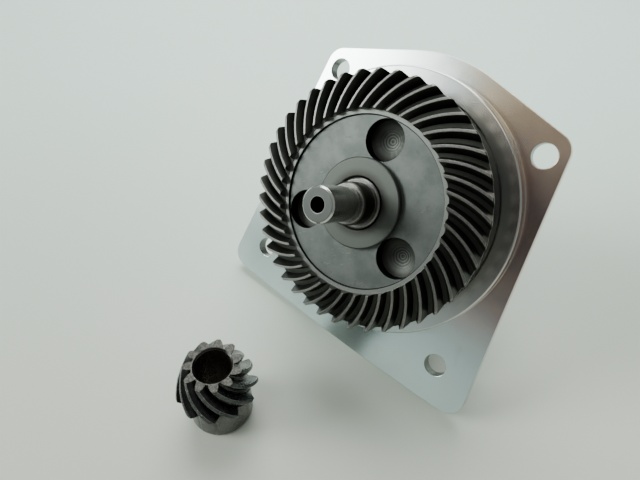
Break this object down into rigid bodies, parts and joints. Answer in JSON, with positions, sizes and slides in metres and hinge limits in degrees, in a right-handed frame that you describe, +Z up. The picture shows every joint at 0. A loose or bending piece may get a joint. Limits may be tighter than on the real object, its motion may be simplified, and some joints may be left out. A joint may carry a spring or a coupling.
{
  "type": "bevel gear pair",
  "caption": "Spiral bevel ring gear on a spindle in a bearing cover plate, with its loose matching pinion standing beside it.",
  "frame": {"origin": "centre of the footprint box on the table, under the cover plate's front; z = 0 is the table", "axes": "+Z up from the table, -Y towards the side the gear faces, +X to the right seen from the gear's side; the pinion's axis is +Z and the spindle's axis leans 31 degrees above -Y"},
  "size_m": [0.0826, 0.1235, 0.0721],
  "materials": {
    "zinc_plate": "bright zinc plated",
    "ring_gear_steel": "dark, case hardened",
    "pinion_steel": "dark, case hardened",
    "ground_steel": "ground",
    "bearing_steel": "polished",
    "shield_steel": "pressed",
    "spring_steel": "blackened",
    "seal_rubber": "matte"
  },
  "bodies": {
    "cover": {"cover_plate": "zinc_plate", "bearing_outer_race": "bearing_steel", "bearing_shield_front": "shield_steel", "bearing_shield_rear": "shield_steel", "housing_clip": "spring_steel", "dust_seal": "seal_rubber"},
    "spindle": {"spindle": "ground_steel", "ring_gear": "ring_gear_steel", "gear_key": "ground_steel", "gear_shim": "ground_steel", "bearing_inner_race": "bearing_steel", "spindle_clip": "spring_steel"},
    "bearing_balls": {"bearing_cage": "shield_steel", "bearing_ball_1": "bearing_steel", "bearing_ball_2": "bearing_steel", "bearing_ball_3": "bearing_steel", "bearing_ball_4": "bearing_steel", "bearing_ball_5": "bearing_steel", "bearing_ball_6": "bearing_steel", "bearing_ball_7": "bearing_steel", "bearing_ball_8": "bearing_steel"},
    "pinion_carrier": {"pinion_shim": "ground_steel"},
    "pinion": {"pinion": "pinion_steel"}
  },
  "joints": [
    {"name": "spindle_spin", "type": "hinge", "parent": "cover", "child": "spindle", "pos_m": [0, 0.0047, 0.03772], "axis": [0, -0.8572, 0.515], "continuous": true},
    {"name": "ball_ring_spin", "type": "hinge", "parent": "cover", "child": "bearing_balls", "pos_m": [0, 0.00787, 0.03581], "axis": [0, -0.8572, 0.515], "continuous": true},
    {"name": "pinion_seat", "type": "hinge", "parent": "cover", "child": "pinion_carrier", "pos_m": [-0.00901, -0.01892, -0.01845], "axis": [-0.9473, 0.0856, 0.3088], "range_deg": [0, 32.64]},
    {"name": "pinion_spin", "type": "hinge", "parent": "pinion_carrier", "child": "pinion", "pos_m": [-0.0059, -0.0521, 0], "axis": [0, 0, 1], "continuous": true}
  ],
  "couplings": [
    {"joint": "pinion_spin", "follows": "spindle_spin", "ratio": -3.7273},
    {"joint": "ball_ring_spin", "follows": "spindle_spin", "ratio": 0.379}
  ]
}
